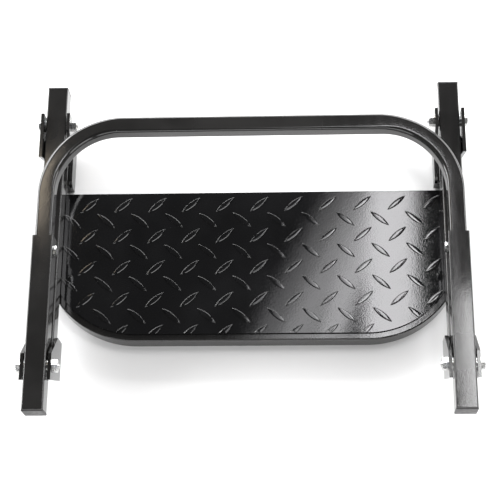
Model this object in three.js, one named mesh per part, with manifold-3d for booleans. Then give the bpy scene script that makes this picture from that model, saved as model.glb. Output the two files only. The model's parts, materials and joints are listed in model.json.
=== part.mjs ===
// Folding tailgate step: a base frame, two swinging arms and a U-shaped step frame, shown folded
// flat. Millimetres, +Z up. +Y points to the base frame's closed end and X runs across the step.
import * as THREE from 'three';
import { mergeVertices } from 'three/addons/utils/BufferGeometryUtils.js';
import Module from 'manifold-3d';

const wasm = await Module();
wasm.setup();

// ---------------------------------------------------------------- driving dimensions
const OVERALL_WIDTH = 651.5;      // outside to outside of the square tubes
const TUBE = 31.75;               // sleeves, arms and step frame
const TUBE_WALL = 2.4;
const TUBE_EDGE = 2.2;            // outer edge radius of the square tubes
const LOOP_TUBE = 25.4;           // the thinner tube that slides into the sleeves
const LOOP_WALL = 2;
const LOOP_EDGE = 4;
const GAP = 0.3;                  // between pieces that touch

const SLEEVE_LENGTH = 266;
const LOOP_OUTER_Y = 461;         // closed end of the base frame, from the sleeves' open ends
const LOOP_OUTER_RADIUS = 123;
const LOOP_INSERT_Y = 150;        // where the loop's legs end inside the sleeves
const LOOP_SCREW_Y = 246;

const MAIN_PIVOT_Y = 67;
const STEP_PIVOT_Y = 476;
const ARM_END_Y = 533;
const STEP_OUTER_Y = 124.5;       // closed end of the step frame
const STEP_OUTER_RADIUS = 150;

const PLATE_LEVEL_GAP = 6;        // between step frame and arms, room for the tread plate
const BASE_LEVEL_GAP = 16.5;      // between arms and sleeves, room for the pivot plates
const STOP_CLEARANCE = 0.45;      // a tube's end face to the tube it swings square against

const TREAD_THICKNESS = 3;
const TREAD_TOP_Y = 365;
const TREAD_INSET = 9.8;          // tube left bare outside the tread plate
const LUG_PITCH_X = 53.4;
const LUG_PITCH_Y = 52;
const LUG_FIRST_X = 11.5;         // middle of a lug in the top row
const LUG_FIRST_Y = 20;           // the top row's middle, below the tread plate's top edge
const LUG_TILT = THREE.MathUtils.degToRad(40);
const LUG_LENGTH = 37;
const LUG_WIDTH = 7.6;
const LUG_HEIGHT = 1.2;
const LUG_TOP = 0.5;              // size of a lug's top as a share of its foot
const LUG_SIDES = 6;

const PIVOT_PLATE = 5;            // thickness
const WASHER = 20;
const WASHER_THICKNESS = 1.5;     // between the tube and each plate
const PLATE_PAD_MARGIN = 2;       // a plate's raised foot, inside the edges of its own tube
const PLATE_NEAR = 11;            // bolt to the plate's free edge
const PLATE_SIDE = 23;            // bolt to the edge beyond the tube's end
const PLATE_FAR = 64;             // bolt to the edge opposite the free one
const OUTER_LEAN = 20;            // the outer step plates' far edge leans back below
const PLATE_REACH = 52;           // bolt to the edge welded along the tube
const PLATE_CUT_NEAR = 17;        // where the sloping edge meets the free edge
const PLATE_CUT_REACH = 32;       // where the sloping edge meets the welded edge
const PLATE_HEEL_CUT = 17;        // set-back of the corner under the tube's end
const INNER_TOP_Y = 18;           // length of the free edge on the step frame's inner plates
const INNER_SLOPE_Y = 45;         // where that plate's sloping edge meets its tail
const TAIL_END_Y = 382;           // end of the strip on the step frame's inner plates
const TAIL_TOP = 30;
const TAIL_CHAMFER = 8;

const BOLT = 10;
const BOLT_HOLE = 10.6;
const BUSH = 14;
const BUSH_HOLE = 14.6;
const HEX = 17;                   // across flats
const HEAD_HEIGHT = 6.4;
const NUT_HEIGHT = 8.4;
const THREAD_STICKS_OUT = 2;
const SCREW = 8;
const SCREW_HEX = 13;
const SCREW_HEAD = 3.2;
const SCREW_FLANGE = 16;
const SCREW_FLANGE_HEIGHT = 1.2;
const SCREW_LENGTH = 12;
const OVERLAP = 0.5;              // how far joined solids run into each other

const CAP_FLANGE = 3;
const CAP_PROUD = 0.3;            // each side of the tube
const CAP_PLUG = 16;
const CAP_PLUG_WALL = 2.5;
const CAP_BEVEL = 1;
const CAP_BEVEL_DEPTH = 0.6;

const ROUND_SEGMENTS = 16;
const BEND_STEPS = 11;            // per quarter turn of a bent tube
const EDGE_SEGMENTS = 2;

// ---------------------------------------------------------------- derived places
const STEP_LEVEL = 0;
const ARM_LEVEL = TUBE + PLATE_LEVEL_GAP;
const BASE_LEVEL = ARM_LEVEL + TUBE + BASE_LEVEL_GAP;
const SIDE_X = (OVERALL_WIDTH - TUBE) / 2;
const STEP_MID_Z = STEP_LEVEL + TUBE / 2;
const ARM_MID_Z = ARM_LEVEL + TUBE / 2;
const BASE_MID_Z = BASE_LEVEL + TUBE / 2;
const END_FROM_BOLT = TUBE / 2 + STOP_CLEARANCE;
const Y_CENTRE = ARM_END_Y / 2;
const PLATE_STAND_OFF = WASHER_THICKNESS + 2 * GAP;

// ---------------------------------------------------------------- materials
const blackCoat = new THREE.MeshStandardMaterial({ color: 0x17171a, roughness: 0.28, metalness: 0.1 });
const treadCoat = new THREE.MeshStandardMaterial({ color: 0x1c1c1f, roughness: 0.35, metalness: 0.1 });
const zinc = new THREE.MeshStandardMaterial({ color: 0xb9bcc0, roughness: 0.32, metalness: 0.9 });
const plastic = new THREE.MeshStandardMaterial({ color: 0x1a1a1b, roughness: 0.6, metalness: 0 });
const bushSteel = new THREE.MeshStandardMaterial({ color: 0x8d8f92, roughness: 0.45, metalness: 0.9 });

const object = new THREE.Group();
object.position.y = -Y_CENTRE;

function add(name, geometry, material, x = 0, y = 0, z = 0) {
  const mesh = new THREE.Mesh(geometry, material);
  mesh.name = name;
  mesh.position.set(x, y, z);
  object.add(mesh);
  return mesh;
}

// ---------------------------------------------------------------- solids
function solid(geometry) {
  const bare = geometry.clone();
  bare.deleteAttribute('normal');
  bare.deleteAttribute('uv');
  const merged = mergeVertices(bare, 1e-4);
  return new wasm.Manifold(new wasm.Mesh({
    numProp: 3,
    vertProperties: new Float32Array(merged.attributes.position.array),
    triVerts: new Uint32Array(merged.index.array),
  }));
}

function geometryOf(manifold) {
  const mesh = manifold.getMesh();
  const geometry = new THREE.BufferGeometry();
  geometry.setAttribute('position', new THREE.BufferAttribute(mesh.vertProperties, 3));
  geometry.setIndex(new THREE.BufferAttribute(mesh.triVerts, 1));
  return geometry;
}

function cut(geometry, tools) {
  let result = solid(geometry);
  for (const tool of tools) {
    result = result.subtract(solid(tool));
  }
  return geometryOf(result);
}

// A round bar along X, centred on the given point.
function barX(diameter, length, x = 0, y = 0, z = 0, segments = ROUND_SEGMENTS) {
  const bar = new THREE.CylinderGeometry(diameter / 2, diameter / 2, length, segments);
  bar.rotateZ(Math.PI / 2);
  bar.translate(x, y, z);
  return bar;
}

function roundedSquare(path, size, radius) {
  const h = size / 2;
  const c = h - radius;
  path.moveTo(h, -c);
  path.absarc(c, c, radius, 0, Math.PI / 2, false);
  path.absarc(-c, c, radius, Math.PI / 2, Math.PI, false);
  path.absarc(-c, -c, radius, Math.PI, 1.5 * Math.PI, false);
  path.absarc(c, -c, radius, 1.5 * Math.PI, 2 * Math.PI, false);
  return path;
}

function squareHole(size) {
  const h = size / 2;
  return new THREE.Path([
    new THREE.Vector2(-h, -h),
    new THREE.Vector2(-h, h),
    new THREE.Vector2(h, h),
    new THREE.Vector2(h, -h),
  ]);
}

function tubeSection(size, edge, wall) {
  const section = roundedSquare(new THREE.Shape(), size, edge);
  section.holes.push(squareHole(size - 2 * wall));
  return section;
}

// A straight square tube from y = 0 to y = length, centred on the Y axis.
function straightTube(size, edge, wall, length) {
  const tube = new THREE.ExtrudeGeometry(tubeSection(size, edge, wall), {
    depth: length,
    bevelEnabled: false,
    curveSegments: EDGE_SEGMENTS,
  });
  tube.rotateX(-Math.PI / 2);
  return tube;
}

// The centre line of a U-bent tube: two straight legs along Y, two quarter turns and a straight bar.
class UPath extends THREE.Curve {
  constructor(halfWidth, legY, barY, radius) {
    super();
    const turn = Math.sign(barY - legY);
    const bendY = barY - turn * radius;
    this.points = [new THREE.Vector3(-halfWidth, legY, 0)];
    this.tangents = [new THREE.Vector3(0, turn, 0)];
    for (const side of [-1, 1]) {
      for (let i = 0; i <= BEND_STEPS; i++) {
        const a = (i / BEND_STEPS) * Math.PI / 2;
        const b = side < 0 ? a : Math.PI / 2 - a;
        const x = side * (halfWidth - radius * (1 - Math.cos(b)));
        const y = bendY + turn * radius * Math.sin(b);
        this.points.push(new THREE.Vector3(x, y, 0));
        this.tangents.push(new THREE.Vector3(Math.sin(b), -side * turn * Math.cos(b), 0));
      }
    }
    this.points.push(new THREE.Vector3(halfWidth, legY, 0));
    this.tangents.push(new THREE.Vector3(0, -turn, 0));
  }

  get steps() {
    return this.points.length - 1;
  }

  getPoint(t) {
    return this.points[Math.round(t * this.steps)].clone();
  }

  getPointAt(u) {
    return this.getPoint(u);
  }

  getTangentAt(u) {
    return this.tangents[Math.round(u * this.steps)].clone();
  }

  getSpacedPoints() {
    return this.points.map((point) => point.clone());
  }
}

function bentTube(size, edge, wall, path) {
  return new THREE.ExtrudeGeometry(tubeSection(size, edge, wall), {
    steps: path.steps,
    extrudePath: path,
    curveSegments: EDGE_SEGMENTS,
  });
}

// ---------------------------------------------------------------- pivot plates
// Outlines are in (y, z) with the bolt at the origin. Each plate stands off the tube it swings
// past by a washer, and has a raised foot where it is welded to the side of its own tube.
const ownTubeTop = TUBE / 2 - TUBE - BASE_LEVEL_GAP;
const stepTubeTop = TUBE / 2 - TUBE - PLATE_LEVEL_GAP;
const tailEnd = TAIL_END_Y - STEP_PIVOT_Y;
const tailTop = STEP_LEVEL + TAIL_TOP - ARM_MID_Z;
const footStart = END_FROM_BOLT + PLATE_PAD_MARGIN;

const MAIN_PLATE = [
  [-PLATE_SIDE, PLATE_NEAR],
  [PLATE_HEEL_CUT - PLATE_SIDE, -PLATE_FAR],
  [PLATE_REACH, -PLATE_FAR],
  [PLATE_REACH, -PLATE_CUT_REACH],
  [PLATE_CUT_NEAR, PLATE_NEAR],
];
const MAIN_FOOT = [
  [footStart, -PLATE_FAR],
  [PLATE_REACH, -PLATE_FAR],
  [PLATE_REACH, ownTubeTop - PLATE_PAD_MARGIN],
  [footStart, ownTubeTop - PLATE_PAD_MARGIN],
];
const STEP_PLATE_OUTER = [
  [PLATE_NEAR, PLATE_SIDE],
  [-PLATE_FAR, PLATE_SIDE],
  [OUTER_LEAN - PLATE_FAR, -PLATE_REACH],
  [-PLATE_CUT_REACH, -PLATE_REACH],
  [PLATE_NEAR, -PLATE_CUT_NEAR],
];
const STEP_PLATE_INNER = [
  [PLATE_NEAR, PLATE_SIDE],
  [-INNER_TOP_Y, PLATE_SIDE],
  [-INNER_SLOPE_Y, tailTop],
  [tailEnd + TAIL_CHAMFER, tailTop],
  [tailEnd, tailTop - TAIL_CHAMFER],
  [tailEnd, -PLATE_REACH],
  [-PLATE_CUT_REACH, -PLATE_REACH],
  [PLATE_NEAR, -PLATE_CUT_NEAR],
];

function stepFoot(end) {
  return [
    [-footStart, stepTubeTop - PLATE_PAD_MARGIN],
    [end, stepTubeTop - PLATE_PAD_MARGIN],
    [end, -PLATE_REACH],
    [-PLATE_CUT_REACH, -PLATE_REACH],
  ];
}

// Extrudes an outline given in (y, z) to a plate centred on x = 0.
function plateSolid(outline, thickness) {
  const points = outline.map(([y, z]) => new THREE.Vector2(y, z));
  const plate = new THREE.ExtrudeGeometry(new THREE.Shape(points), {
    depth: thickness,
    bevelEnabled: false,
  });
  plate.translate(0, 0, -thickness / 2);
  plate.rotateZ(Math.PI / 2);
  plate.rotateY(Math.PI / 2);
  return plate;
}

// A plate whose foot stands out towards its tube, on the -X side for towards = -1.
function pivotPlate(outline, foot, towards) {
  const footHeight = PLATE_STAND_OFF - GAP;
  const pad = plateSolid(foot, footHeight + OVERLAP);
  pad.translate(towards * (PIVOT_PLATE + footHeight - OVERLAP) / 2, 0, 0);
  const plate = solid(plateSolid(outline, PIVOT_PLATE)).add(solid(pad));
  return geometryOf(plate.subtract(solid(barX(BOLT_HOLE, 3 * PIVOT_PLATE))));
}

// ---------------------------------------------------------------- fasteners
function hexBar(acrossFlats, length) {
  return barX(acrossFlats / Math.cos(Math.PI / 6), length, 0, 0, 0, 6);
}

// Lies along X, with the head at the outer side of the joint.
function pivotBolt(side, grip) {
  const seat = grip / 2 + GAP;
  const tip = -seat - NUT_HEIGHT - THREAD_STICKS_OUT;
  const head = hexBar(HEX, HEAD_HEIGHT);
  head.translate(seat + HEAD_HEIGHT / 2, 0, 0);
  const body = barX(BOLT, seat - tip + OVERLAP, (seat + tip + OVERLAP) / 2);
  const bolt = geometryOf(solid(head).add(solid(body)));
  if (side < 0) {
    bolt.rotateZ(Math.PI);
  }
  return bolt;
}

function ring(outer, inner, length) {
  return cut(barX(outer, length), [barX(inner, 2 * length)]);
}

function nut() {
  return cut(hexBar(HEX, NUT_HEIGHT), [barX(BOLT_HOLE, 2 * NUT_HEIGHT)]);
}

function loopScrew(side) {
  const flange = barX(SCREW_FLANGE, SCREW_FLANGE_HEIGHT, -SCREW_FLANGE_HEIGHT / 2);
  const head = hexBar(SCREW_HEX, SCREW_HEAD);
  head.translate(-SCREW_HEAD / 2 - SCREW_FLANGE_HEIGHT + OVERLAP, 0, 0);
  const shank = barX(SCREW, SCREW_LENGTH, SCREW_LENGTH / 2 - OVERLAP);
  const screw = geometryOf(solid(flange).add(solid(head)).add(solid(shank)));
  if (side < 0) {
    screw.rotateZ(Math.PI);
  }
  return screw;
}

// ---------------------------------------------------------------- end cap
// A flange with a shallow crowned face and a plug inside the tube; it closes the end at y = 0 and
// faces -Y.
function endCap(size, wall) {
  const core = roundedSquare(new THREE.Shape(), size + 2 * (CAP_PROUD - CAP_BEVEL), TUBE_EDGE);
  const flange = new THREE.ExtrudeGeometry(core, {
    depth: CAP_FLANGE - 2 * CAP_BEVEL_DEPTH,
    bevelEnabled: true,
    bevelThickness: CAP_BEVEL_DEPTH,
    bevelSize: CAP_BEVEL,
    bevelSegments: 1,
    curveSegments: EDGE_SEGMENTS,
  });
  flange.rotateX(-Math.PI / 2);
  flange.translate(0, CAP_BEVEL_DEPTH - CAP_FLANGE - GAP, 0);
  const inside = size - 2 * wall - 2 * GAP;
  const plug = new THREE.BoxGeometry(inside, CAP_PLUG, inside);
  plug.translate(0, CAP_PLUG / 2 - GAP - OVERLAP, 0);
  const bore = inside - 2 * CAP_PLUG_WALL;
  const hollow = new THREE.BoxGeometry(bore, CAP_PLUG, bore);
  hollow.translate(0, CAP_PLUG / 2 + CAP_BEVEL, 0);
  return geometryOf(solid(flange).add(solid(plug)).subtract(solid(hollow)));
}

// ---------------------------------------------------------------- base frame
const loopPath = new UPath(
  SIDE_X,
  LOOP_INSERT_Y,
  LOOP_OUTER_Y - LOOP_TUBE / 2,
  LOOP_OUTER_RADIUS - LOOP_TUBE / 2,
);
const screwHoles = [-1, 1].map((side) => barX(
  SCREW + 2 * GAP,
  LOOP_TUBE,
  side * (SIDE_X - LOOP_TUBE / 2),
  LOOP_SCREW_Y,
));
add('loop_tube', cut(bentTube(LOOP_TUBE, LOOP_EDGE, LOOP_WALL, loopPath), screwHoles), blackCoat,
  0, 0, BASE_MID_Z);

const SIDES = [['left', -1], ['right', 1]];

for (const [word, side] of SIDES) {
  const x = side * SIDE_X;
  const innerWall = -side * TUBE / 2;
  const sleeve = cut(straightTube(TUBE, TUBE_EDGE, TUBE_WALL, SLEEVE_LENGTH), [
    barX(BUSH_HOLE, 2 * TUBE, 0, MAIN_PIVOT_Y),
    barX(SCREW + 2 * GAP, TUBE / 2, innerWall, LOOP_SCREW_Y),
  ]);
  add(`sleeve_${word}`, sleeve, blackCoat, x, 0, BASE_MID_Z);
  add(`sleeve_cap_${word}`, endCap(TUBE, TUBE_WALL), plastic, x, 0, BASE_MID_Z);
  add(`loop_screw_${word}`, loopScrew(side), zinc, x + innerWall - side * GAP, LOOP_SCREW_Y, BASE_MID_Z);
}

// ---------------------------------------------------------------- arms
for (const [word, side] of SIDES) {
  const start = MAIN_PIVOT_Y + END_FROM_BOLT;
  const arm = cut(straightTube(TUBE, TUBE_EDGE, TUBE_WALL, ARM_END_Y - start), [
    barX(BUSH_HOLE, 2 * TUBE, 0, STEP_PIVOT_Y - start),
  ]);
  add(`arm_${word}`, arm, blackCoat, side * SIDE_X, start, ARM_MID_Z);
  const cap = add(`arm_cap_${word}`, endCap(TUBE, TUBE_WALL), plastic, side * SIDE_X, ARM_END_Y, ARM_MID_Z);
  cap.rotation.z = Math.PI;
}

// ---------------------------------------------------------------- step frame
const stepPath = new UPath(
  SIDE_X,
  STEP_PIVOT_Y - END_FROM_BOLT,
  STEP_OUTER_Y + TUBE / 2,
  STEP_OUTER_RADIUS - TUBE / 2,
);
add('step_tube', bentTube(TUBE, TUBE_EDGE, TUBE_WALL, stepPath), blackCoat, 0, 0, STEP_MID_Z);

function treadOutline() {
  const halfWidth = OVERALL_WIDTH / 2 - TREAD_INSET;
  const low = STEP_OUTER_Y + TREAD_INSET;
  const radius = STEP_OUTER_RADIUS - TREAD_INSET;
  const outline = new THREE.Shape();
  outline.moveTo(halfWidth, TREAD_TOP_Y);
  outline.lineTo(-halfWidth, TREAD_TOP_Y);
  outline.absarc(-halfWidth + radius, low + radius, radius, Math.PI, 1.5 * Math.PI, false);
  outline.absarc(halfWidth - radius, low + radius, radius, 1.5 * Math.PI, 2 * Math.PI, false);
  return outline;
}

function treadSheet(thickness) {
  return solid(new THREE.ExtrudeGeometry(treadOutline(), {
    depth: thickness,
    bevelEnabled: false,
    curveSegments: BEND_STEPS,
  }));
}

// The sheet is cut from patterned stock, so the lugs at its edges are cut off with it.
function treadPlate() {
  const halfWidth = OVERALL_WIDTH / 2 - TREAD_INSET;
  const rows = Math.ceil((TREAD_TOP_Y - STEP_OUTER_Y) / LUG_PITCH_Y) * 2;
  const columns = Math.ceil(halfWidth / LUG_PITCH_X) * 2;
  let lugs = null;
  for (let row = 0; row < rows; row++) {
    for (let column = -columns; column <= columns; column++) {
      if ((row + column) % 2 !== 0) {
        continue;
      }
      const x = LUG_FIRST_X + column * LUG_PITCH_X / 2;
      const y = TREAD_TOP_Y - LUG_FIRST_Y - row * LUG_PITCH_Y / 2;
      if (lugOnSheet(x, y)) {
        const next = solid(lug(x, y, row % 2 === 0 ? LUG_TILT : -LUG_TILT));
        lugs = lugs ? lugs.add(next) : next;
      }
    }
  }
  const onSheet = lugs.intersect(treadSheet(TREAD_THICKNESS + 2 * LUG_HEIGHT));
  return geometryOf(treadSheet(TREAD_THICKNESS).add(onSheet));
}

// True where at least the middle of a lug lies on the sheet, or the sheet's edge cuts well into it.
function lugOnSheet(x, y) {
  const reach = LUG_LENGTH / 5;
  const halfWidth = OVERALL_WIDTH / 2 - TREAD_INSET;
  const low = STEP_OUTER_Y + TREAD_INSET;
  const radius = STEP_OUTER_RADIUS - TREAD_INSET;
  const dx = Math.abs(x) - (halfWidth - radius);
  const dy = low + radius - y;
  if (Math.abs(x) > halfWidth + reach || y < low - reach) {
    return false;
  }
  return dx <= 0 || dy <= 0 || Math.hypot(dx, dy) < radius + reach;
}

function lug(x, y, tilt) {
  const sunk = 0.5;
  const height = LUG_HEIGHT + sunk;
  const body = new THREE.CylinderGeometry(LUG_TOP / 2, 0.5, height, LUG_SIDES);
  body.rotateY(Math.PI / 2);
  body.rotateX(Math.PI / 2);
  body.scale(LUG_LENGTH, LUG_WIDTH, 1);
  body.rotateZ(tilt);
  body.translate(x, y, TREAD_THICKNESS + height / 2 - sunk);
  return body;
}

add('tread_plate', treadPlate(), treadCoat, 0, 0, STEP_LEVEL + TUBE + GAP);

// ---------------------------------------------------------------- pivots
// One set per side and joint: two plates, a washer inside each, a bolt and nut, and a bush.
const PIVOTS = [
  {
    name: 'main',
    y: MAIN_PIVOT_Y,
    z: BASE_MID_Z,
    inner: [MAIN_PLATE, MAIN_FOOT],
    outer: [MAIN_PLATE, MAIN_FOOT],
  },
  {
    name: 'step',
    y: STEP_PIVOT_Y,
    z: ARM_MID_Z,
    inner: [STEP_PLATE_INNER, stepFoot(tailEnd)],
    outer: [STEP_PLATE_OUTER, stepFoot(OUTER_LEAN - PLATE_FAR)],
  },
];
const plateOffset = TUBE / 2 + PLATE_STAND_OFF + PIVOT_PLATE / 2;
const grip = 2 * plateOffset + PIVOT_PLATE;
const washerOffset = TUBE / 2 + GAP + WASHER_THICKNESS / 2;
const nutOffset = grip / 2 + GAP + NUT_HEIGHT / 2;

for (const pivot of PIVOTS) {
  for (const [word, side] of SIDES) {
    const x = side * SIDE_X;
    const place = [pivot.y, pivot.z];
    const inner = pivotPlate(...pivot.inner, side);
    const outer = pivotPlate(...pivot.outer, -side);
    add(`${pivot.name}_plate_inner_${word}`, inner, blackCoat, x - side * plateOffset, ...place);
    add(`${pivot.name}_plate_outer_${word}`, outer, blackCoat, x + side * plateOffset, ...place);
    add(`${pivot.name}_bolt_${word}`, pivotBolt(side, grip), zinc, x, ...place);
    const washer = ring(WASHER, BOLT_HOLE, WASHER_THICKNESS);
    add(`${pivot.name}_washer_inner_${word}`, washer, zinc, x - side * washerOffset, ...place);
    add(`${pivot.name}_washer_outer_${word}`, washer.clone(), zinc, x + side * washerOffset, ...place);
    add(`${pivot.name}_nut_${word}`, nut(), zinc, x - side * nutOffset, ...place);
    add(`${pivot.name}_bush_${word}`, ring(BUSH, BOLT_HOLE, TUBE), bushSteel, x, ...place);
  }
}

export default object;
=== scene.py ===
"""Folding tailgate step, folded flat on a pale floor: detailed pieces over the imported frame."""
import json
import math

import bmesh
import bpy
from mathutils import Matrix, Quaternion, Vector


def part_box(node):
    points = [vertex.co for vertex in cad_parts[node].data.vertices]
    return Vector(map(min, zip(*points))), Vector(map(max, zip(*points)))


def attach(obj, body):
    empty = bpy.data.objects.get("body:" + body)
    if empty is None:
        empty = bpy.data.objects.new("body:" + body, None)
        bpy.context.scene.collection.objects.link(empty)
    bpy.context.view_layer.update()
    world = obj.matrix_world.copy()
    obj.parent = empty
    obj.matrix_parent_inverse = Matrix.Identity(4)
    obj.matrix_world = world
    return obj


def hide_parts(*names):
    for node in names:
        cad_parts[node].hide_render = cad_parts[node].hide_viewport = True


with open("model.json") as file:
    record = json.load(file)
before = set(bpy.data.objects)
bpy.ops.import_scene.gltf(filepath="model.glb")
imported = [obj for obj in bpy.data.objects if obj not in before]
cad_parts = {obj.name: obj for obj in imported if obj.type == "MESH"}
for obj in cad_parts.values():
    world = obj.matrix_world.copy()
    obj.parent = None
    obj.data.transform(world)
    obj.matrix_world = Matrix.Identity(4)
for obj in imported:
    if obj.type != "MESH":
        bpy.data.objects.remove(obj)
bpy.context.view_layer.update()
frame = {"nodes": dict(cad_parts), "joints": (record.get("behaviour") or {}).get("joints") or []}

MM = 0.001

# ------------------------------------------------------------------ sizes, in metres
SLEEVE_LOW, SLEEVE_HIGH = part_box("sleeve_left")
STEP_LOW, STEP_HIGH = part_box("step_tube")
LOOP_LOW, LOOP_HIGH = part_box("loop_tube")
TREAD_LOW, TREAD_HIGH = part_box("tread_plate")

TUBE = SLEEVE_HIGH.z - SLEEVE_LOW.z
TUBE_WALL = 2.4 * MM
TUBE_EDGE = 2.3 * MM
LOOP_TUBE = LOOP_HIGH.z - LOOP_LOW.z
LOOP_WALL = 2.0 * MM
LOOP_EDGE = 4.2 * MM
LOOP_BEND_EDGE = 6.5 * MM
SIDE_X = -(SLEEVE_LOW.x + SLEEVE_HIGH.x) / 2
LOOP_RADIUS = 123 * MM - LOOP_TUBE / 2
STEP_RADIUS = 150 * MM - TUBE / 2

TREAD_TOP = TREAD_LOW.z + 3 * MM
TREAD_EASE = 0.5 * MM
TREAD_CORNER = 140.2 * MM
LUG_PITCH_X = 53.4 * MM
LUG_PITCH_Y = 52 * MM
LUG_FIRST_X = 11.5 * MM
LUG_FIRST_Y = 20 * MM
LUG_TILT = math.radians(40)
LUG_LENGTH = 37 * MM
LUG_WIDTH = 8.4 * MM
LUG_HEIGHT = 1.2 * MM
LUG_RIM = 1.45 * MM
LUG_MARGIN = 0.4 * MM      # bare sheet between a cut lug and the sheet's edge

PLATE_BEVEL = 0.7 * MM
BOLT = 10 * MM
BOLT_HOLE = 10.6 * MM
BUSH_HOLE = 14.6 * MM
HEX = 17 * MM
HEX_CHAMFER_DEPTH = 0.056   # share of the size across flats
HEX_CHAMFER_STEPS = 4
HEX_FACE = 0.955           # width of a chamfered face, as a share of the flats
CORNER = 1.155             # across corners, as a share of the flats
HEAD_HEIGHT = 6.4 * MM
THREAD_PITCH = 1.5 * MM
THREAD_DEPTH = 0.55 * MM
THREAD_LENGTH = 16 * MM
THREAD_LEAD = 0.9 * MM     # length of the tapered tip
SHANK_SLACK = 0.02 * MM
SCREW = 7.8 * MM
SCREW_HEX = 13 * MM
SCREW_FLANGE = 16 * MM
SCREW_FLANGE_HEIGHT = 1.1 * MM
SCREW_HEAD_HEIGHT = 4 * MM
WASHER_EASE = 0.25 * MM
BUSH_EASE = 0.4 * MM

CAP_RIM = 3 * MM           # depth of a cap outside its tube
CAP_PLUG_END = 18 * MM
CAP_RIBS = (6 * MM, 12 * MM)
CAP_RIB_WIDTH = 2 * MM
CAP_RIB_HEIGHT = 1.2 * MM
CAP_SLACK = 0.35 * MM

FLOOR_Z = -0.2 * MM
FLOOR_SIZE = 12.0

ROUND = 64                 # sides of a round part
HEX_ROUND = 96             # points round a chamfered hexagon
BEND_STEPS = 48            # steps in a quarter turn of bent tube
EDGE_STEPS = 6             # steps in a tube's rounded edge
LUG_STEPS = 40             # steps along a lug
SMOOTH_LIMIT = 35          # degrees; a sharper edge stays sharp

JOINT = {joint["name"]: Vector(joint["pos_m"]) for joint in frame["joints"]}
SIDES = (("left", -1), ("right", 1))


# ------------------------------------------------------------------ material helpers
class Graph:
    """A material's node tree, with short calls to add and join nodes."""

    def __init__(self, name):
        self.material = bpy.data.materials.new(name)
        self.material.use_nodes = True
        self.tree = self.material.node_tree
        self.shader = self.tree.nodes["Principled BSDF"]
        self.place = self.node("ShaderNodeTexCoord").outputs["Object"]

    def node(self, kind, **values):
        made = self.tree.nodes.new(kind)
        for key, value in values.items():
            setattr(made, key, value)
        return made

    def join(self, source, target):
        self.tree.links.new(source, target)

    def noise(self, scale, detail=4.0, roughness=0.55, stretch=None, distortion=0.0):
        made = self.node("ShaderNodeTexNoise")
        made.inputs["Scale"].default_value = scale
        made.inputs["Detail"].default_value = detail
        made.inputs["Roughness"].default_value = roughness
        made.inputs["Distortion"].default_value = distortion
        if stretch:
            mapping = self.node("ShaderNodeMapping")
            mapping.inputs["Scale"].default_value = stretch
            self.join(self.place, mapping.inputs["Vector"])
            self.join(mapping.outputs["Vector"], made.inputs["Vector"])
        else:
            self.join(self.place, made.inputs["Vector"])
        return made.outputs["Fac"]

    def ramp(self, source, stops):
        made = self.node("ShaderNodeValToRGB")
        made.color_ramp.interpolation = "EASE"
        elements = made.color_ramp.elements
        while len(elements) < len(stops):
            elements.new(0.5)
        for element, (position, value) in zip(elements, stops):
            element.position = position
            colour = value if isinstance(value, tuple) else (value, value, value)
            element.color = (*colour, 1)
        self.join(source, made.inputs["Fac"])
        return made.outputs["Color"]

    def mix(self, factor, first, second):
        made = self.node("ShaderNodeMix", data_type="RGBA")
        sockets = made.inputs[0], made.inputs[6], made.inputs[7]
        for value, socket in zip((factor, first, second), sockets):
            if isinstance(value, bpy.types.NodeSocket):
                self.join(value, socket)
            elif isinstance(value, tuple):
                socket.default_value = (*value, 1)
            else:
                socket.default_value = value
        return made.outputs[2]

    def math(self, operation, first, second):
        made = self.node("ShaderNodeMath", operation=operation)
        for value, socket in ((first, made.inputs[0]), (second, made.inputs[1])):
            if isinstance(value, bpy.types.NodeSocket):
                self.join(value, socket)
            else:
                socket.default_value = value
        return made.outputs[0]

    def bumps(self, layers):
        """Stacks (height, strength, distance in metres) layers and joins them to the shader."""
        normal = None
        for height, strength, distance in layers:
            bump = self.node("ShaderNodeBump")
            bump.inputs["Strength"].default_value = strength
            bump.inputs["Distance"].default_value = distance
            self.join(height, bump.inputs["Height"])
            if normal is not None:
                self.join(normal, bump.inputs["Normal"])
            normal = bump.outputs["Normal"]
        self.join(normal, self.shader.inputs["Normal"])

    def colour(self, source):
        self.join(source, self.shader.inputs["Base Color"])

    def roughness(self, source):
        self.join(source, self.shader.inputs["Roughness"])


def powder_coat(name, base, rough_low, rough_high, peel=0.22, chips=0.745, streak=0.12, wave=0.10):
    """Gloss black powder coat: orange peel, dust specks, light scuffs and a few chips."""
    g = Graph(name)
    g.shader.inputs["Specular IOR Level"].default_value = 0.5
    cloud = g.noise(9, 3)
    tone = tuple(c * 1.6 + 0.001 for c in base)
    colour = g.mix(g.ramp(cloud, [(0.35, 0.0), (0.7, 1.0)]), base, tone)
    dust = g.ramp(g.noise(950, 2, 0.7), [(0.70, 0.0), (0.78, 1.0)])
    dust_area = g.ramp(g.noise(24, 3), [(0.5, 0.0), (0.72, 0.5)])
    colour = g.mix(g.math("MULTIPLY", dust, dust_area), colour, (0.06, 0.058, 0.055))
    chip = g.ramp(g.noise(260, 5, 0.62, distortion=0.4), [(chips, 0.0), (chips + 0.015, 1.0)])
    colour = g.mix(chip, colour, (0.34, 0.33, 0.32))
    g.colour(colour)
    scuff = g.noise(70, 5, 0.65, stretch=(1.0, streak, 1.0))
    rough = g.ramp(scuff, [(0.3, rough_low), (0.72, rough_high)])
    g.roughness(g.mix(chip, rough, (0.6, 0.6, 0.6)))
    g.bumps([
        (g.noise(430, 2, 0.5), peel, 0.00018),
        (g.noise(1500, 2, 0.5), peel * 0.6, 0.00006),
        (g.noise(38, 2, 0.5), wave, 0.0006),
    ])
    return g.material


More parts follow.
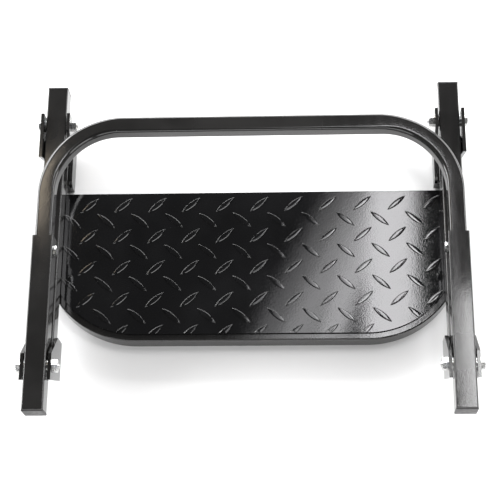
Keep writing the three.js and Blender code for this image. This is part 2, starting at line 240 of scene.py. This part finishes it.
def zinc_plate(name):
    """Bright zinc plating: pale grey with a faint blue and straw bloom and fine handling marks."""
    g = Graph(name)
    g.shader.inputs["Metallic"].default_value = 1.0
    blue, pale, straw = (0.60, 0.61, 0.64), (0.70, 0.70, 0.69), (0.66, 0.63, 0.56)
    bloom = g.ramp(g.noise(140, 3), [(0.3, blue), (0.55, pale), (0.8, straw)])
    grime = g.ramp(g.noise(420, 5, 0.7), [(0.62, 0.0), (0.74, 0.7)])
    g.colour(g.mix(grime, bloom, (0.22, 0.21, 0.20)))
    g.roughness(g.ramp(g.noise(600, 4, 0.6), [(0.3, 0.2), (0.75, 0.42)]))
    g.bumps([(g.noise(900, 3, 0.6), 0.25, 0.00008)])
    return g.material


def turned_steel(name):
    g = Graph(name)
    g.shader.inputs["Metallic"].default_value = 1.0
    lathe = g.noise(900, 2, 0.5, stretch=(4.0, 0.2, 0.2))
    g.colour(g.ramp(lathe, [(0.35, (0.36, 0.355, 0.35)), (0.7, (0.52, 0.515, 0.50))]))
    g.roughness(g.ramp(g.noise(300, 4), [(0.3, 0.3), (0.7, 0.5)]))
    g.bumps([(lathe, 0.3, 0.00005)])
    return g.material


def cap_plastic(name):
    """Moulded black polyethylene: fine spark texture and pale scuffs."""
    g = Graph(name)
    tone = g.ramp(g.noise(30, 3), [(0.3, (0.014, 0.014, 0.015)), (0.75, (0.032, 0.031, 0.031))])
    scuff = g.ramp(g.noise(320, 5, 0.7), [(0.64, 0.0), (0.72, 0.7)])
    g.colour(g.mix(scuff, tone, (0.10, 0.10, 0.10)))
    g.roughness(g.ramp(g.noise(180, 4), [(0.3, 0.34), (0.75, 0.55)]))
    g.bumps([(g.noise(1200, 2, 0.6), 0.35, 0.00007)])
    return g.material


def painted_floor(name):
    """A pale studio floor with very faint unevenness."""
    g = Graph(name)
    g.colour(g.ramp(g.noise(3, 3), [(0.3, (0.86, 0.86, 0.862)), (0.7, (0.88, 0.879, 0.878))]))
    g.roughness(g.ramp(g.noise(14, 3), [(0.3, 0.55), (0.7, 0.62)]))
    return g.material


BLACK = powder_coat("black_powder_coat", (0.010, 0.0097, 0.0095), 0.07, 0.13)
TREAD = powder_coat(
    "tread_powder_coat", (0.0035, 0.0035, 0.0038), 0.035, 0.06,
    peel=0.15, chips=0.78, streak=0.8, wave=0.04,
)
ZINC = zinc_plate("zinc_plating")
STEEL = turned_steel("turned_bush_steel")
PLASTIC = cap_plastic("black_cap_plastic")


# ------------------------------------------------------------------ mesh helpers
def finish_piece(name, bm, material, body, nodes, smooth=SMOOTH_LIMIT):
    """Makes an object of a bmesh, hangs it on its body and hides the nodes it stands in for."""
    bmesh.ops.recalc_face_normals(bm, faces=bm.faces)
    mesh = bpy.data.meshes.new(name)
    bm.to_mesh(mesh)
    bm.free()
    piece = bpy.data.objects.new(name, mesh)
    bpy.context.scene.collection.objects.link(piece)
    mesh.materials.append(material)
    shade(mesh, smooth)
    keep_flats_flat(piece)
    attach(piece, body)
    if nodes:
        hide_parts(*nodes)
    return piece


def shade(mesh, degrees):
    """Smooth faces, with edges sharper than the angle kept sharp."""
    bm = bmesh.new()
    bm.from_mesh(mesh)
    for face in bm.faces:
        face.smooth = True
    for edge in bm.edges:
        if len(edge.link_faces) == 2:
            edge.smooth = edge.calc_face_angle(0) < math.radians(degrees)
    bm.to_mesh(mesh)
    bm.free()


def keep_flats_flat(piece):
    """Lets large faces set the shading, so that only the narrow rounded ones bend the light."""
    weighted = piece.modifiers.new("flat_sides", "WEIGHTED_NORMAL")
    weighted.mode = "FACE_AREA"
    weighted.weight = 100
    weighted.keep_sharp = True


def rounded_square(size, edge):
    """Points round a square with rounded corners, in its own plane."""
    half = size / 2 - edge
    points = []
    for quarter, (cx, cy) in enumerate(((half, half), (-half, half), (-half, -half), (half, -half))):
        for i in range(EDGE_STEPS + 1):
            a = (quarter + i / EDGE_STEPS) * math.pi / 2
            points.append(Vector((cx + edge * math.cos(a), cy + edge * math.sin(a))))
    return points


def join_rings(bm, first, second):
    """Faces between two rings with the same number of points."""
    for i in range(len(first)):
        j = (i + 1) % len(first)
        bm.faces.new((first[i], first[j], second[j], second[i]))


def swept_tube(bm, size, edge, wall, path, bend_edge=None):
    """A hollow square tube along a flat path of (point, heading) pairs, with ringed open ends.

    Where the heading is turned, the edges grow rounder, up to bend_edge half way round a bend.
    """
    rings = []
    for point, heading in path:
        turned = abs(2 * heading.x * heading.y)
        here = edge + (bend_edge - edge) * min(1, 1.6 * turned) if bend_edge else edge
        outer = rounded_square(size, here)
        inner = rounded_square(size - 2 * wall, max(here - wall, 0.3 * MM))
        across = Vector((heading.y, -heading.x, 0))
        ring = [
            [bm.verts.new(point + across * p.x + Vector((0, 0, p.y))) for p in outline]
            for outline in (outer, inner)
        ]
        rings.append(ring)
    for first, second in zip(rings, rings[1:]):
        for shell in (0, 1):
            join_rings(bm, first[shell], second[shell])
    for outside, inside in (rings[0], rings[-1]):
        join_rings(bm, outside, inside)


def u_path(half_width, leg_y, bar_y, z, radius):
    """The middle of a U-bent tube, from one leg's end round to the other's."""
    turn = 1 if bar_y > leg_y else -1
    bend_y = bar_y - turn * radius
    path = [(Vector((-half_width, leg_y, z)), Vector((0, turn, 0)))]
    for side in (-1, 1):
        for i in range(BEND_STEPS + 1):
            a = i / BEND_STEPS * math.pi / 2
            b = a if side < 0 else math.pi / 2 - a
            x = side * (half_width - radius * (1 - math.cos(b)))
            y = bend_y + turn * radius * math.sin(b)
            path.append((Vector((x, y, z)), Vector((math.sin(b), -side * turn * math.cos(b), 0))))
    path.append((Vector((half_width, leg_y, z)), Vector((0, -turn, 0))))
    return path


def round_bar(bm, radius, x0, x1, y, z):
    """A closed round bar along X."""
    ends = []
    for x in (x0, x1):
        ring = []
        for i in range(ROUND):
            a = 2 * math.pi * i / ROUND
            ring.append(bm.verts.new((x, y + radius * math.cos(a), z + radius * math.sin(a))))
        ends.append(ring)
    join_rings(bm, *ends)
    bm.faces.new(list(reversed(ends[0])))
    bm.faces.new(ends[1])


def lathe_x(bm, profile, x, y, z, direction):
    """Turns (along, radius) pairs about the X line through (y, z); a closed profile makes a ring."""
    closed = profile[0] == profile[-1]
    points = profile[:-1] if closed else profile
    rings = []
    for along, radius in points:
        ring = []
        for i in range(ROUND):
            a = 2 * math.pi * i / ROUND
            ring.append(bm.verts.new((
                x + direction * along,
                y + radius * math.cos(a),
                z + radius * math.sin(a),
            )))
        rings.append(ring)
    pairs = list(zip(rings, rings[1:]))
    if closed:
        pairs.append((rings[-1], rings[0]))
    for first, second in pairs:
        join_rings(bm, first, second)
    if not closed:
        bm.faces.new(rings[0])
        bm.faces.new(list(reversed(rings[-1])))


def cut_by(piece, cutter):
    """Cuts a closed bmesh out of a piece and keeps the result."""
    mesh = bpy.data.meshes.new("cutter")
    bmesh.ops.recalc_face_normals(cutter, faces=cutter.faces)
    cutter.to_mesh(mesh)
    cutter.free()
    tool = bpy.data.objects.new("cutter", mesh)
    bpy.context.scene.collection.objects.link(tool)
    boolean = piece.modifiers.new("cut", "BOOLEAN")
    boolean.operation = "DIFFERENCE"
    boolean.solver = "EXACT"
    boolean.object = tool
    bpy.context.view_layer.update()
    shaped = piece.evaluated_get(bpy.context.evaluated_depsgraph_get())
    result = bpy.data.meshes.new_from_object(shaped)
    piece.modifiers.clear()
    old = piece.data
    piece.data = result
    bpy.data.meshes.remove(old)
    bpy.data.objects.remove(tool)
    bpy.data.meshes.remove(mesh)
    shade(piece.data, SMOOTH_LIMIT)
    keep_flats_flat(piece)


# ------------------------------------------------------------------ tubes
def straight_tube(name, body, low, high, pivot):
    """A hollow straight tube along Y, with the bush's hole through it."""
    bm = bmesh.new()
    mid_x, mid_z = (low.x + high.x) / 2, (low.z + high.z) / 2
    ends = [(Vector((mid_x, y, mid_z)), Vector((0, 1, 0))) for y in (low.y, high.y)]
    swept_tube(bm, TUBE, TUBE_EDGE, TUBE_WALL, ends)
    piece = finish_piece(f"{name}_shaped", bm, BLACK, body, [name])
    hole = bmesh.new()
    round_bar(hole, BUSH_HOLE / 2, low.x - MM, high.x + MM, pivot.y, pivot.z)
    cut_by(piece, hole)


def loop_tube():
    bm = bmesh.new()
    mid_z = (LOOP_LOW.z + LOOP_HIGH.z) / 2
    path = u_path(SIDE_X, LOOP_LOW.y, LOOP_HIGH.y - LOOP_TUBE / 2, mid_z, LOOP_RADIUS)
    swept_tube(bm, LOOP_TUBE, LOOP_EDGE, LOOP_WALL, path, LOOP_BEND_EDGE)
    finish_piece("loop_tube_bent", bm, BLACK, "base_frame", ["loop_tube"])


def step_tube():
    bm = bmesh.new()
    mid_z = (STEP_LOW.z + STEP_HIGH.z) / 2
    path = u_path(SIDE_X, STEP_HIGH.y, STEP_LOW.y + TUBE / 2, mid_z, STEP_RADIUS)
    swept_tube(bm, TUBE, TUBE_EDGE, TUBE_WALL, path)
    finish_piece("step_tube_bent", bm, BLACK, "step_frame", ["step_tube"])


loop_tube()
step_tube()
for word, _ in SIDES:
    straight_tube(f"sleeve_{word}", "base_frame", *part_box(f"sleeve_{word}"), JOINT["arm_fold"])
    straight_tube(f"arm_{word}", f"arm_{word}_body", *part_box(f"arm_{word}"), JOINT["step_fold_left"])


# ------------------------------------------------------------------ tread plate
def tread_edge():
    """The sheet's outline: straight top edge and two rounded lower corners."""
    mid = Vector(((TREAD_LOW.x + TREAD_HIGH.x) / 2, 0))
    half = (TREAD_HIGH.x - TREAD_LOW.x) / 2
    low = TREAD_LOW.y
    points = [Vector((mid.x + half, TREAD_HIGH.y)), Vector((mid.x - half, TREAD_HIGH.y))]
    for side, start in ((-1, math.pi), (1, 1.5 * math.pi)):
        centre = Vector((mid.x + side * (half - TREAD_CORNER), low + TREAD_CORNER))
        for i in range(BEND_STEPS + 1):
            a = start + i / BEND_STEPS * math.pi / 2
            points.append(centre + TREAD_CORNER * Vector((math.cos(a), math.sin(a))))
    return points


def inside_sheet(x, y):
    """How far a place lies inside the sheet's edge, negative outside."""
    half = (TREAD_HIGH.x - TREAD_LOW.x) / 2
    dx = abs(x - (TREAD_LOW.x + TREAD_HIGH.x) / 2) - (half - TREAD_CORNER)
    dy = TREAD_LOW.y + TREAD_CORNER - y
    margin = min(TREAD_HIGH.y - y, TREAD_CORNER - dx)
    if dx > 0 and dy > 0:
        return min(margin, TREAD_CORNER - math.hypot(dx, dy))
    return min(margin, y - TREAD_LOW.y)


def lug_places():
    """(x, y, tilt) of each lug that lies on the sheet or is cut by its edge."""
    half = (TREAD_HIGH.x - TREAD_LOW.x) / 2
    columns = math.ceil(half / LUG_PITCH_X) * 2
    rows = math.ceil((TREAD_HIGH.y - TREAD_LOW.y) / LUG_PITCH_Y) * 2
    for row in range(rows):
        for column in range(-columns, columns + 1):
            if (row + column) % 2:
                continue
            x = LUG_FIRST_X + column * LUG_PITCH_X / 2
            y = TREAD_HIGH.y - LUG_FIRST_Y - row * LUG_PITCH_Y / 2
            if inside_sheet(x, y) > -LUG_LENGTH / 5:
                yield x, y, LUG_TILT if row % 2 == 0 else -LUG_TILT


def add_lug(bm, x, y, tilt):
    """One raised lens: a flat top inside a narrow rim that falls to the sheet's face."""
    along = Vector((math.cos(tilt), math.sin(tilt)))
    across = Vector((-along.y, along.x))
    grid = []
    for i in range(1, LUG_STEPS):
        u = -math.cos(math.pi * i / LUG_STEPS)
        half = LUG_WIDTH / 2 * (1 - u * u) ** 0.8
        rim = min(LUG_RIM, half)
        middle = Vector((x, y)) + along * (u * LUG_LENGTH / 2)
        height = LUG_HEIGHT * rim / LUG_RIM
        levels = [
            (-half, 0), (rim * 0.3 - half, 0.42), (rim * 0.6 - half, 0.78), (rim - half, 1),
            (half - rim, 1), (half - rim * 0.6, 0.78), (half - rim * 0.3, 0.42), (half, 0),
        ]
        line = []
        for offset, share in levels:
            flat = middle + across * offset
            line.append(bm.verts.new((flat.x, flat.y, TREAD_TOP + height * share)))
        grid.append(line)
    for first, second in zip(grid, grid[1:]):
        for j in range(len(first) - 1):
            bm.faces.new((first[j], second[j], second[j + 1], first[j + 1]))


def tread_sheet():
    """The sheet with its eased edges."""
    edge = tread_edge()
    levels = [
        (TREAD_EASE, TREAD_LOW.z), (0, TREAD_LOW.z + TREAD_EASE), (0, TREAD_TOP - TREAD_EASE),
        (TREAD_EASE * 0.3, TREAD_TOP - TREAD_EASE * 0.3), (TREAD_EASE, TREAD_TOP),
    ]
    bm = bmesh.new()
    rings = []
    for inset, z in levels:
        ring = []
        for i, point in enumerate(edge):
            way = edge[(i + 1) % len(edge)] - edge[i - 1]
            outward = Vector((way.y, -way.x)).normalized()
            if i < 2:          # the two square corners
                outward = Vector((1 if i == 0 else -1, 1))
            place = point - outward * inset
            ring.append(bm.verts.new((place.x, place.y, z)))
        rings.append(ring)
    for first, second in zip(rings, rings[1:]):
        join_rings(bm, first, second)
    bm.faces.new(list(reversed(rings[0])))
    bm.faces.new(rings[-1])
    finish_piece("tread_sheet", bm, TREAD, "step_frame", ["tread_plate"])


def tread_lugs():
    """All the lugs, cut off where the sheet was cut."""
    bm = bmesh.new()
    for x, y, tilt in lug_places():
        add_lug(bm, x, y, tilt)
    bmesh.ops.remove_doubles(bm, verts=bm.verts, dist=1e-6)
    outside = [v for v in bm.verts if inside_sheet(v.co.x, v.co.y) < LUG_MARGIN]
    bmesh.ops.delete(bm, geom=outside, context="VERTS")
    finish_piece("tread_lugs", bm, TREAD, "step_frame", [], smooth=60)


tread_sheet()
tread_lugs()


# ------------------------------------------------------------------ pivot plates
def keep_plate(node):
    """A pivot plate keeps its shape, with eased edges."""
    piece = frame["nodes"][node]
    piece.data.materials.clear()
    piece.data.materials.append(BLACK)
    bevel = piece.modifiers.new("eased_edges", "BEVEL")
    bevel.width = PLATE_BEVEL
    bevel.segments = 3
    bevel.limit_method = "ANGLE"
    bevel.angle_limit = math.radians(40)
    bevel.harden_normals = True


for joint in ("main", "step"):
    for where in ("inner", "outer"):
        for word, _ in SIDES:
            keep_plate(f"{joint}_plate_{where}_{word}")


# ------------------------------------------------------------------ fasteners
def hex_prism(bm, flats, seat, face, y, z):
    """A hexagon along X from its seat to its face, where a chamfer turns its corners round."""
    way = math.copysign(1, face - seat)
    depth = HEX_CHAMFER_DEPTH * flats
    levels = [(seat, 2 * flats)]
    for k in range(HEX_CHAMFER_STEPS + 1):
        share = k / HEX_CHAMFER_STEPS
        limit = flats / 2 * (CORNER + (HEX_FACE - CORNER) * share)
        levels.append((face - way * depth * (1 - share), limit))
    rings = []
    for x, limit in levels:
        ring = []
        for i in range(HEX_ROUND):
            a = 2 * math.pi * i / HEX_ROUND
            from_flat = (a + math.pi / 6) % (math.pi / 3) - math.pi / 6
            radius = min(flats / 2 / math.cos(from_flat), limit)
            ring.append(bm.verts.new((x, y + radius * math.cos(a), z + radius * math.sin(a))))
        rings.append(ring)
    for first, second in zip(rings, rings[1:]):
        join_rings(bm, first, second)
    return rings


def hex_head(bm, flats, seat, face, y, z):
    """A closed solid hexagon."""
    rings = hex_prism(bm, flats, seat, face, y, z)
    bm.faces.new(rings[0])
    bm.faces.new(rings[-1])


def bolt(node, body, side):
    """Hex bolt along X, head at the joint's outer side, threaded where it leaves the nut."""
    low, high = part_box(node)
    y, z = (low.y + high.y) / 2, (low.z + high.z) / 2
    head_end, tip = (low.x, high.x) if side < 0 else (high.x, low.x)
    seat = head_end - side * HEAD_HEIGHT
    bm = bmesh.new()
    hex_head(bm, HEX, seat, head_end, y, z)
    radius = BOLT / 2 - SHANK_SLACK
    length = abs(tip - seat)
    shank = [(0, radius)]
    along = length - THREAD_LENGTH
    while along < length - THREAD_PITCH:
        shank.append((along, radius))
        shank.append((along + THREAD_PITCH / 2, radius - THREAD_DEPTH))
        along += THREAD_PITCH
    shank.append((length - THREAD_LEAD, radius - 0.2 * MM))
    shank.append((length, radius - 1.1 * MM))
    lathe_x(bm, shank, seat + side * SHANK_SLACK / 2, y, z, -side)
    finish_piece(f"{node}_threaded", bm, ZINC, body, [node], smooth=24)


def nut(node, body, side):
    """A chamfered hex nut with a plain bore."""
    low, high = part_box(node)
    y, z = (low.y + high.y) / 2, (low.z + high.z) / 2
    seat, face = (low.x, high.x) if side < 0 else (high.x, low.x)
    bm = bmesh.new()
    rings = hex_prism(bm, HEX, seat, face, y, z)
    radius = BOLT_HOLE / 2
    bore = []
    for x in (face, seat):
        ring = []
        for i in range(HEX_ROUND):
            a = 2 * math.pi * i / HEX_ROUND
            ring.append(bm.verts.new((x, y + radius * math.cos(a), z + radius * math.sin(a))))
        bore.append(ring)
    for first, second in ((rings[-1], bore[0]), bore, (bore[1], rings[0])):
        join_rings(bm, first, second)
    finish_piece(f"{node}_chamfered", bm, ZINC, body, [node], smooth=24)


def eased_ring(node, ease):
    """A ring about the bolt that fills a node's box, with eased outer edges."""
    low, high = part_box(node)
    y, z = (low.y + high.y) / 2, (low.z + high.z) / 2
    length = high.x - low.x
    outer, inner = (high.z - low.z) / 2, BOLT_HOLE / 2
    profile = [
        (0, inner), (0, outer - ease), (ease, outer), (length - ease, outer),
        (length, outer - ease), (length, inner), (0, inner),
    ]
    bm = bmesh.new()
    lathe_x(bm, profile, low.x, y, z, 1)
    return bm


def washer(node, body):
    ring = eased_ring(node, WASHER_EASE)
    finish_piece(f"{node}_pressed", ring, ZINC, body, [node])


def bush(node, body):
    ring = eased_ring(node, BUSH_EASE)
    finish_piece(f"{node}_turned", ring, STEEL, body, [node])


def loop_screw(node, side):
    """Hex-flange screw through the sleeve's inner wall into the loop's leg."""
    low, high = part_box(node)
    y, z = (low.y + high.y) / 2, (low.z + high.z) / 2
    head_end, tip = (high.x, low.x) if side < 0 else (low.x, high.x)
    seat = head_end + side * SCREW_HEAD_HEIGHT
    bm = bmesh.new()
    hex_head(bm, SCREW_HEX, seat - side * SCREW_FLANGE_HEIGHT, head_end, y, z)
    flange = [
        (0, SCREW_FLANGE / 2 - 0.1 * MM), (0.5 * MM, SCREW_FLANGE / 2),
        (SCREW_FLANGE_HEIGHT, SCREW_HEX / 2),
    ]
    lathe_x(bm, flange, seat, y, z, -side)
    length = abs(tip - seat)
    shank = [(0, SCREW / 2), (length - MM, SCREW / 2), (length, 3 * MM)]
    lathe_x(bm, shank, seat, y, z, side)
    finish_piece(f"{node}_flanged", bm, ZINC, "base_frame", [node], smooth=24)


for word, side in SIDES:
    arm_body = f"arm_{word}_body"
    for joint, carrier, bushed in (("main", arm_body, "base_frame"), ("step", "step_frame", arm_body)):
        bolt(f"{joint}_bolt_{word}", carrier, side)
        nut(f"{joint}_nut_{word}", carrier, side)
        bush(f"{joint}_bush_{word}", bushed)
        for where in ("inner", "outer"):
            washer(f"{joint}_washer_{where}_{word}", carrier)
    loop_screw(f"loop_screw_{word}", side)


# ------------------------------------------------------------------ end caps
def end_cap(node, body, facing):
    """A moulded cap: crowned face, eased rim and a ribbed plug inside the tube."""
    low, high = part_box(node)
    mid = Vector(((low.x + high.x) / 2, 0, (low.z + high.z) / 2))
    side_half = (high.x - low.x) / 2
    face = low.y if facing < 0 else high.y
    bm = bmesh.new()

    def ring(depth, half, edge):
        y = face - facing * depth
        outline = rounded_square(2 * half, edge)
        return [bm.verts.new((mid.x + p.x, y, mid.z + p.y)) for p in outline]

    def closed(rings):
        for first, second in zip(rings, rings[1:]):
            join_rings(bm, first, second)
        bm.faces.new(rings[0])
        bm.faces.new(rings[-1])

    crown = [                  # depth behind the face, and how far in from the cap's side
        (CAP_RIM, 0.5 * MM), (CAP_RIM - 0.3 * MM, 0.1 * MM), (1.3 * MM, 0),
        (0.75 * MM, 0.25 * MM), (0.35 * MM, 0.8 * MM), (0.12 * MM, 1.8 * MM), (0, 4 * MM),
    ]
    closed([
        ring(depth, side_half - inset, max(TUBE_EDGE - inset, 0.6 * MM)) for depth, inset in crown
    ])
    inside = (TUBE - 2 * TUBE_WALL) / 2 - CAP_SLACK
    plug = (CAP_RIM - 0.2 * MM, CAP_PLUG_END, inside - CAP_RIB_HEIGHT)
    ribs = [(start, start + CAP_RIB_WIDTH, inside) for start in CAP_RIBS]
    for start, end, half in [plug, *ribs]:
        closed([ring(start, half, MM), ring(end, half, MM)])
    finish_piece(f"{node}_moulded", bm, PLASTIC, body, [node], smooth=50)


for word, _ in SIDES:
    end_cap(f"sleeve_cap_{word}", "base_frame", -1)
    end_cap(f"arm_cap_{word}", f"arm_{word}_body", 1)


# ------------------------------------------------------------------ stage, camera and light
def floor():
    bm = bmesh.new()
    half = FLOOR_SIZE / 2
    corners = [
        bm.verts.new((x, y, FLOOR_Z))
        for x, y in ((-half, -half), (half, -half), (half, half), (-half, half))
    ]
    bm.faces.new(corners)
    mesh = bpy.data.meshes.new("floor")
    bm.to_mesh(mesh)
    bm.free()
    ground = bpy.data.objects.new("floor", mesh)
    bpy.context.scene.collection.objects.link(ground)
    mesh.materials.append(painted_floor("pale_floor"))


def camera():
    """Stands over the sleeves' open ends and looks steeply down at the folded step."""
    elevation, yaw, roll = math.radians(69.983), math.radians(-2.546), math.radians(-0.556)
    origin = SLEEVE_LOW.y
    place = Vector((0.08935, origin - 0.43943, 1.97845))
    forward = Vector((0, math.cos(elevation), -math.sin(elevation)))
    up = Vector((0, math.sin(elevation), math.cos(elevation)))
    right = Vector((1, 0, 0))
    forward, right = (
        math.cos(yaw) * forward + math.sin(yaw) * right,
        math.cos(yaw) * right - math.sin(yaw) * forward,
    )
    right, up = (
        math.cos(roll) * right + math.sin(roll) * up,
        math.cos(roll) * up - math.sin(roll) * right,
    )
    data = bpy.data.cameras.new("camera")
    data.lens = 96.4116
    data.sensor_width = 36
    data.clip_start, data.clip_end = 0.05, 30
    made = bpy.data.objects.new("camera", data)
    bpy.context.scene.collection.objects.link(made)
    turn = Matrix((right, up, -forward)).transposed()
    made.matrix_world = Matrix.Translation(place) @ turn.to_4x4()
    bpy.context.scene.camera = made


def softbox(name, place, aim, width, height, watts, colour=(1, 1, 1), roll=0.0):
    data = bpy.data.lights.new(name, "AREA")
    data.shape = "RECTANGLE"
    data.size, data.size_y = width, height
    data.energy = watts
    data.color = colour
    lamp = bpy.data.objects.new(name, data)
    bpy.context.scene.collection.objects.link(lamp)
    lamp.location = place
    turn = (Vector(aim) - Vector(place)).to_track_quat("-Z", "Y")
    lamp.rotation_euler = (turn @ Quaternion((0, 0, 1), roll)).to_euler()


def lights():
    cool = (0.985, 0.98, 1.0)
    strips = (
        ("softbox_back", 0.352, 0.160, 9.4, -3.5),
        ("softbox_edge", 0.232, 0.080, 2.9, -12),
        ("softbox_rim", 0.150, 0.090, 1.9, -15),
        ("softbox_haze", 0.080, 0.120, 1.0, -15),
    )
    for name, x, width, watts, lean in strips:
        softbox(name, (x, 0.70, 2.15), (x, 1.60, 1.077), width, 1.28, watts, cool, math.radians(lean))
    softbox("softbox_right", (0.655, 0.28, 2.05), (0.655, 0.28, 0), 0.25, 0.52, 6.5)
    softbox("warm_card", (-0.85, 0.9, 2.05), (-0.85, 0.9, 0), 0.28, 0.24, 1.35, (1, 0.85, 0.66))
    softbox("fill_back", (0, 2.8, 1.1), (0, 0, 0), 3.4, 1.2, 165)
    softbox("fill_front", (-0.4, -2.6, 1.1), (0, 0, 0), 2.6, 1.2, 38)
    softbox("fill_corner", (2.0, -2.0, 1.2), (0, 0, 0), 1.8, 1.2, 40)
    softbox("fill_left", (-2.4, 1.4, 1.0), (0, 0, 0), 2.8, 1.2, 160)
    softbox("fill_right", (2.4, 1.3, 1.0), (0, 0, 0), 2.8, 1.2, 80)
    world = bpy.data.worlds.new("studio")
    world.use_nodes = True
    background = world.node_tree.nodes["Background"]
    background.inputs["Color"].default_value = (1, 1, 1, 1)
    background.inputs["Strength"].default_value = 0.10
    bpy.context.scene.world = world
    bpy.context.scene.view_settings.view_transform = "Standard"


floor()
camera()
lights()
